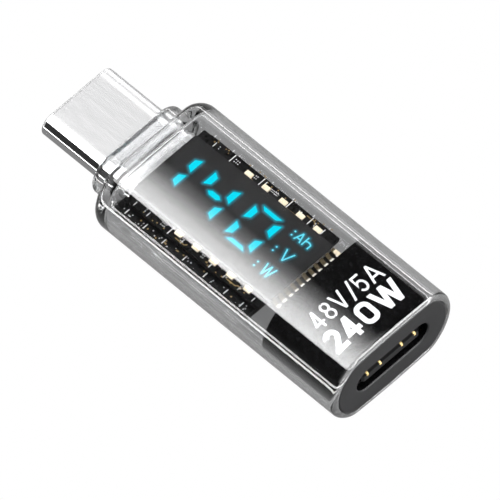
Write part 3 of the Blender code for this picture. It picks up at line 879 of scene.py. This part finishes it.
def block_top(y):
    """Height of the block's crowned top at a place across it."""
    outline = body_outline(BLOCK_INSET)
    quarter = outline[:SIDE_STEPS + CORNER_STEPS + FLAT_STEPS + 1]
    for (outer_y, outer_z), (inner_y, inner_z) in zip(quarter, quarter[1:]):
        if inner_y <= abs(y) <= outer_y:
            share = (abs(y) - inner_y) / (outer_y - inner_y)
            return inner_z + share * (outer_z - inner_z)
    return quarter[-1][1]


def make_print(name, letters, top_x, height, width):
    """White letters that read along +Y, draped on the block. letters gives each cell."""
    half = width / 2
    size = height - width
    parts = []
    for character, low_y, high_y in letters:
        runs = glyph(character, (high_y - low_y - width) / size, half / size)
        for order, (points, closed, level) in enumerate(runs):
            placed = [[(top_x + half + (1.0 - b) * size, low_y + half + a * size)
                       for a, b in side]
                      for side in stroke_sides(points, width / size, closed, level)]
            left, right = finer_sides(*placed, closed)
            parts.append(ribbon(left, right, closed, block_top, 0.001,
                                PRINT_DEPTH + order * STROKE_STEP))
    mesh_piece(name, *joined(parts), PRINT, None, sharp=30.0)


def finer_sides(left, right, closed, longest=0.12):
    """The same stroke sides with long parts split, so that they can follow a curve."""
    sides = ([], [])
    count = len(left)
    for index in range(count if closed else count - 1):
        after = (index + 1) % count
        parts = max(1, math.ceil(math.dist(left[index], left[after]) / longest))
        for part in range(parts):
            for side, run in zip(sides, (left, right)):
                side.append(between(run[index], run[after], part / parts))
    if not closed:
        sides[0].append(left[-1])
        sides[1].append(right[-1])
    return sides


# ---------------------------------------------------------------- board details

def bar(x, low_y, high_y, half, radius=0.02):
    """A printed bar along Y, half that wide to each side."""
    return rounded_box((x - half, low_y), (x + half, high_y), radius, 2)


def make_board_print():
    """White bars, part marks, vias and short traces on the boards' open margins."""
    rng = random.Random(41)
    low = BOARD_TOP_Z + PRINT_LIFT
    high = low + PRINT_DEPTH
    copper = high - 0.004
    bars = [bar(x, 3.72, 4.68, 0.035) for x in (-4.31, -0.98, 2.19, 4.57)]
    for x, low_y, high_y in ((-6.31, 3.95, 4.45), (6.05, 3.9, 4.5), (-0.62, 4.05, 4.55)):
        bars.append(bar(x, low_y, high_y, 0.03))
    for y in (4.13, 4.30):
        bars.append(rounded_box((-0.10, y - 0.015), (0.95, y + 0.015), 0.01, 2))
    plate("silkscreen_far", bars, low, high, SILK, "tinned_pad")
    bars = [bar(x, -4.68, -3.9, 0.04) for x in (-2.98, 1.75)]
    bars += [bar(x, -4.6, -4.15, 0.02, 0.01) for x in (-6.9, -5.4, -1.55, 3.3, 5.0, 6.6)]
    plate("silkscreen_near", bars, low, high, SILK, "tinned_pad")
    for side, row in ((1, "far"), (-1, "near")):
        dots = []
        for group_x, count in ((-4.0, 6), (-5.8, 2), (-1.7, 4), (0.6, 4), (3.3, 4), (5.1, 3)):
            for index in range(count):
                x = group_x + 0.2 * (index // 2) + rng.uniform(-0.02, 0.02)
                y = side * (4.12 + 0.24 * (index % 2)) + rng.uniform(-0.02, 0.02)
                dots.append(disc(x, y, 0.045, 10))
        plate("part_marks_" + row, dots, low, high, SILK, "tinned_pad")
        vias = []
        for _ in range(14):
            x = rng.uniform(-6.8, 6.9)
            y = side * rng.uniform(4.35, 4.62)
            vias.append(disc(x, y, 0.055, 12))
        plate("vias_" + row, vias, low, copper, TRACE, "contact_gold")
    traces = [
        ([(-2.0, 3.98), (-1.55, 3.78), (-1.2, 3.78)], False, False),
        ([(1.9, 3.82), (3.2, 3.82), (3.35, 3.95)], False, False),
        ([(4.0, 4.45), (4.9, 4.45), (5.1, 4.2)], False, False),
        ([(-2.2, -4.5), (-1.2, -4.5), (-1.0, -4.3)], False, False),
        ([(3.6, -4.45), (4.6, -4.45), (4.75, -4.3), (5.2, -4.3)], False, False),
    ]
    strokes("board_traces", traces, 0.06, low, copper, TRACE, "contact_gold")
    low = MAIN_BOARD_TOP_Z + PRINT_LIFT
    marks = []
    for x in (-7.2, -5.1, -2.98, -0.6, 1.75, 4.1, 5.9):
        marks += [bar(x, -5.3, -4.75, 0.035), bar(x, 4.75, 5.3, 0.035)]
    for _ in range(46):
        x = rng.uniform(-7.9, 6.7)
        y = rng.choice((-1, 1)) * rng.uniform(4.82, 5.28)
        marks.append(disc(x, y, rng.uniform(0.03, 0.05), 10))
    plate("silkscreen_main", marks, low, low + PRINT_DEPTH, SILK, "tinned_pad")
    vias = []
    for _ in range(30):
        x = rng.uniform(-7.9, 6.7)
        y = rng.choice((-1, 1)) * rng.uniform(4.85, 5.25)
        vias.append(disc(x, y, 0.07, 12))
    plate("vias_main", vias, low, low + 0.01, TRACE, "contact_gold")


def make_corner_pad():
    """The one large tinned pad at the end of the display's row of leads."""
    low = BOARD_TOP_Z + PRINT_LIFT
    levels = [(low + rise, inset, 0.12) for rise, inset in
              ((0.0, 0.0), (0.14, 0.0), (0.19, 0.03), (0.21, 0.08))]
    block = rounded_block((8.02, 3.30), (8.72, 3.68), levels, 4)
    mesh_piece("corner_pad", *block, PAD, "tinned_pad")


def make_side_chips():
    """The pale chips beside the display, each on the place of its CAD node."""
    half_length, half_width, height = 0.37, 0.24, 0.13
    levels = ((0.0, 0.0), (height - 0.04, 0.0), (height - 0.01, 0.012), (height, 0.035))
    for name in sorted(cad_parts):
        if not name.startswith("chip_capacitor_"):
            continue
        low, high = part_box(name)
        x = (low.x + high.x) / 2 / MM
        y = (low.y + high.y) / 2 / MM
        foot = (low.z - AXIS_Z) / MM
        heights = [(foot + lift, inset, 0.06 - inset) for lift, inset in levels]
        block = rounded_block((x - half_length, y - half_width),
                              (x + half_length, y + half_width), heights, 4)
        chip = mesh_piece(name.replace("chip_capacitor", "side_chip"), *block, PAD,
                          "tinned_pad")
        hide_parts(name)


def make_main_board():
    """The lower board, as thick below the connectors' centre line as above it."""
    outline = rounded_box((-8.3, -5.45), (7.0, 5.02), 0.12, 4)
    half = MAIN_BOARD_TOP_Z
    board = plate("main_board", [outline], -half, half, MASK, "solder_mask")
    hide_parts("main_pcb")


def make_contact_tips():
    """Rounded front ends of the socket's four long contacts, over the tongue's edge."""
    # place along X and height of the tip's skin
    profile = [(17.55, 0.445), (17.78, 0.445), (17.86, 0.425), (17.93, 0.36), (17.97, 0.28),
               (17.985, 0.20)]
    thickness = 0.05
    half = 0.125
    taper = 0.03
    parts = []
    for y in (-2.75, -1.25, 1.25, 2.75):
        parts.append(loft([[(x - thickness, y - half, z - thickness),
                            (x - thickness, y + half, z - thickness),
                            (x, y + half - taper, z), (x, y - half + taper, z)]
                           for x, z in profile]))
    mesh_piece("socket_contact_tips", *joined(parts), SOCKET_GOLD, "contact_gold")


def make_leads():
    """Gull-wing leads that leave the display's rear edge, each in its solder fillet."""
    low = BOARD_TOP_Z + 0.02
    # place along X, height of the top and thickness
    profile = [(7.80, 1.36, 0.06), (8.00, 1.34, 0.06), (8.22, 1.20, 0.06),
               (8.38, low + 0.05, 0.05), (8.50, low + 0.06, 0.06), (8.56, low + 0.11, 0.11),
               (8.66, low + 0.15, 0.15), (8.78, low + 0.13, 0.13), (8.86, low + 0.05, 0.05)]
    half = LEAD_HALF_WIDTH
    bevel = 0.02
    for index in range(LEAD_COUNT):
        y = (index - (LEAD_COUNT - 1) / 2) * LEAD_PITCH
        rings = []
        for x, top, thickness in profile:
            foot = top - thickness
            rings.append([(x, y - half, foot), (x, y + half, foot),
                          (x, y + half, top - bevel), (x, y + half - bevel, top),
                          (x, y - half + bevel, top), (x, y - half, top - bevel)])
        number = "%02d" % (index + 1)
        lead = mesh_piece("lead_" + number, *loft(rings), LEAD, "contact_gold")
        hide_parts("display_lead_" + number)


# ---------------------------------------------------------------- CAD nodes that stay

NODE_LOOKS = (
    (("display_board",), MASK),
    (("plug_housing", "receptacle_tongue", "board_spacer_"), INSULATOR),
    (("plug_terminals_",), GOLD),
    (("receptacle_terminals_",), SOCKET_GOLD),
    (("plug_latch_", "plug_emi_spring_", "plug_midplate", "receptacle_midplate",
      "timing_crystal"), SPRING),
    (("receptacle_shell",), DARK_STEEL),
    (("controller_chip", "emarker_chip", "regulator_chip"), EPOXY),
    (("buck_inductor", "sense_resistor"), FERRITE),
    (("bulk_capacitor_",), TAN),
)


def dress_nodes():
    """Give each CAD node that still shows its finished material."""
    for name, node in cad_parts.items():
        for starts, look in NODE_LOOKS:
            if name.startswith(starts):
                for place in range(len(node.data.materials)):
                    node.data.materials[place] = look
                if not node.data.materials:
                    node.data.materials.append(look)


# ---------------------------------------------------------------- studio

FLOOR_HALF = 0.6            # metres
FLOOR_DROP = 0.00005        # metres
FLOOR_GLOW = 10.0
# brightness of the floor along Y, in millimetres: faint and even round the object, and one
# strip off to the near side that draws the bright line along the near side of the shell
FLOOR_STOPS = ((-40.0, 0.0), (-31.0, 0.0), (-29.0, 1.0), (-23.0, 1.0), (-21.5, 0.0),
               (-17.0, 0.0), (-12.5, 0.023), (20.0, 0.023))
DARK_SKY = 0.045
WALLS = 1.15
CARD = 9.0
FAR_STRIP = 6.5
SOFTBOX = 7.8
# brightness of the overhead softbox by its angle from straight up towards +Y, in degrees
SOFTBOX_STOPS = ((-50.0, 0.0), (-46.5, 0.0), (-45.5, 1.0), (-18.0, 0.91), (7.0, 0.83),
                 (18.6, 0.72), (20.2, 0.43), (22.0, 0.13), (23.9, 0.0))
SOFTBOX_LEAN = 0.35         # how far its middle leans towards -X for each unit upwards
SOFTBOX_END = (1.0, 0.7)    # where it fades out and where it's full, off that middle
# each pair is where a light fades out and where it's full, as parts of the direction
FAR_WALL_Y = (-0.2, 0.5)
PLUG_WALL_X = (-0.40, -0.6)
WALL_TOP_Z = (0.72, 0.5)
CARD_X = (0.45, 0.55)
CARD_Y = (0.05, 0.2)
CARD_Z = (0.15, 0.3)
STRIP_X = (0.3, 0.0)
STRIP_TOP = (67.0, 70.5)    # degrees from straight up, as for the softbox
STRIP_FOOT = (76.5, 73.0)
CAMERA_AZIMUTH = math.radians(44.68)
CAMERA_ELEVATION = math.radians(56.16)
CAMERA_ROLL = math.radians(-0.35)
CAMERA_DISTANCE = 1.6558    # metres
CAMERA_AIM = (-11.60, 8.83) # millimetres across and up from the middle of the rear face
PIXELS_PER_MM = 12.283
PICTURE_WIDTH = 500.0       # pixels
SENSOR_WIDTH = 36.0


def make_floor():
    """A dark grey floor with a glow of its own. The camera doesn't see it, so that the
    background is plain white as in the photo, but the shell and the steel do."""
    mesh = bpy.data.meshes.new("floor")
    corners = [(x * FLOOR_HALF, y * FLOOR_HALF, -FLOOR_DROP)
               for x, y in ((-1, -1), (1, -1), (1, 1), (-1, 1))]
    mesh.from_pydata(corners, [], [(0, 1, 2, 3)])
    floor = bpy.data.objects.new("floor", mesh)
    bpy.context.scene.collection.objects.link(floor)
    made, tree, shader = new_material("studio_floor")
    paint = tree.two_tones(tree.noise(0.02), (0.035, 0.035, 0.035), (0.042, 0.042, 0.042))
    _, across, _ = tree.axes()
    tree.put_all(shader, {"Base Color": paint, "Roughness": 1.0, "Specular IOR Level": 0.0,
                          "Emission Color": tree.grey_ramp(across, FLOOR_STOPS, MM),
                          "Emission Strength": FLOOR_GLOW})
    mesh.materials.append(made)
    floor.visible_camera = False


def make_world():
    """A dim studio with an overhead softbox whose far edge fades out, low walls, a card
    and a strip. The camera itself sees plain white behind the object."""
    world = bpy.data.worlds.new("studio")
    bpy.context.scene.world = world
    tree = Tree(world)
    tree.nodes.clear()
    x, y, z = tree.axes("Generated")
    degrees = tree.product(tree.calculate("ARCTAN2", y, z), 180.0 / math.pi)

    # the softbox, which ends along X as well
    along = tree.calculate("DIVIDE", x, tree.calculate("MAXIMUM", z, 0.001))
    off_middle = tree.calculate("ABSOLUTE", tree.calculate("ADD", along, SOFTBOX_LEAN))
    softbox = tree.product(tree.grey_ramp(degrees, SOFTBOX_STOPS),
                           tree.ease(off_middle, *SOFTBOX_END), SOFTBOX)
    # low white walls on the far side and beyond the plug; the near side stays dark
    either_wall = tree.calculate("MAXIMUM", tree.ease(y, *FAR_WALL_Y),
                                 tree.ease(x, *PLUG_WALL_X))
    walls = tree.product(either_wall, tree.ease(z, *WALL_TOP_Z), WALLS)
    # a card beyond the socket that draws the bright line on the end's rim
    card = tree.product(tree.ease(x, *CARD_X), tree.ease(z, *CARD_Z),
                        tree.ease(y, *CARD_Y), CARD)
    # a strip low on the far side that draws the bright line along the far shoulder
    strip = tree.product(tree.ease(degrees, *STRIP_TOP), tree.ease(degrees, *STRIP_FOOT),
                         FAR_STRIP, tree.ease(x, *STRIP_X))
    total = DARK_SKY
    for light in (softbox, walls, card, strip):
        total = tree.calculate("ADD", total, light)

    path = tree.nodes.new("ShaderNodeLightPath")
    strength = tree.ranged(path.outputs["Is Camera Ray"], 0.0, 1.0, total, 1.0)
    background = tree.nodes.new("ShaderNodeBackground")
    tree.put_all(background, {"Color": (1.0, 1.0, 1.0, 1.0), "Strength": strength})
    output = tree.nodes.new("ShaderNodeOutputWorld")
    tree.put(background.outputs["Background"], output.inputs["Surface"])


def make_camera():
    """Seen from above the socket's near corner, from far away."""
    flat = math.cos(CAMERA_ELEVATION)
    towards = Vector((math.sin(CAMERA_AZIMUTH) * flat, -math.cos(CAMERA_AZIMUTH) * flat,
                      math.sin(CAMERA_ELEVATION)))
    right = Vector((math.cos(CAMERA_AZIMUTH), math.sin(CAMERA_AZIMUTH), 0.0))
    up = towards.cross(right)
    aim_right, aim_up = CAMERA_AIM
    target = metres(REAR_X, 0.0, 0.0) + right * (aim_right * MM) + up * (aim_up * MM)
    data = bpy.data.cameras.new("camera")
    data.sensor_width = SENSOR_WIDTH
    data.lens = PIXELS_PER_MM * SENSOR_WIDTH * CAMERA_DISTANCE / MM / PICTURE_WIDTH
    data.clip_start = 0.05
    data.clip_end = 20.0
    camera = bpy.data.objects.new("camera", data)
    camera.location = target + towards * CAMERA_DISTANCE
    frame_right = right * math.cos(CAMERA_ROLL) + up * math.sin(CAMERA_ROLL)
    frame_up = up * math.cos(CAMERA_ROLL) - right * math.sin(CAMERA_ROLL)
    turn = Matrix((frame_right, frame_up, towards)).transposed()
    camera.rotation_euler = turn.to_euler()
    bpy.context.scene.collection.objects.link(camera)
    bpy.context.scene.camera = camera
    bpy.context.scene.view_settings.view_transform = "Standard"


make_clear_shell()
make_socket_block()
make_plug_sleeve()
make_display()
make_print("block_print_thin",
           (("4", -3.98, -2.88), ("8", -2.61, -1.63), ("V", -1.38, -0.14),
            ("/", 0.08, 1.01), ("5", 1.12, 2.10), ("A", 2.36, 3.72)),
           11.91, 1.80, 0.21)
make_print("block_print_bold",
           (("2", -4.42, -3.02), ("4", -2.86, -1.22), ("0", -0.89, 0.74), ("W", 0.98, 3.80)),
           14.11, 2.26, 0.46)
make_main_board()
make_side_chips()
make_leads()
make_contact_tips()
make_board_print()
make_corner_pad()
dress_nodes()
make_floor()
make_world()
make_camera()
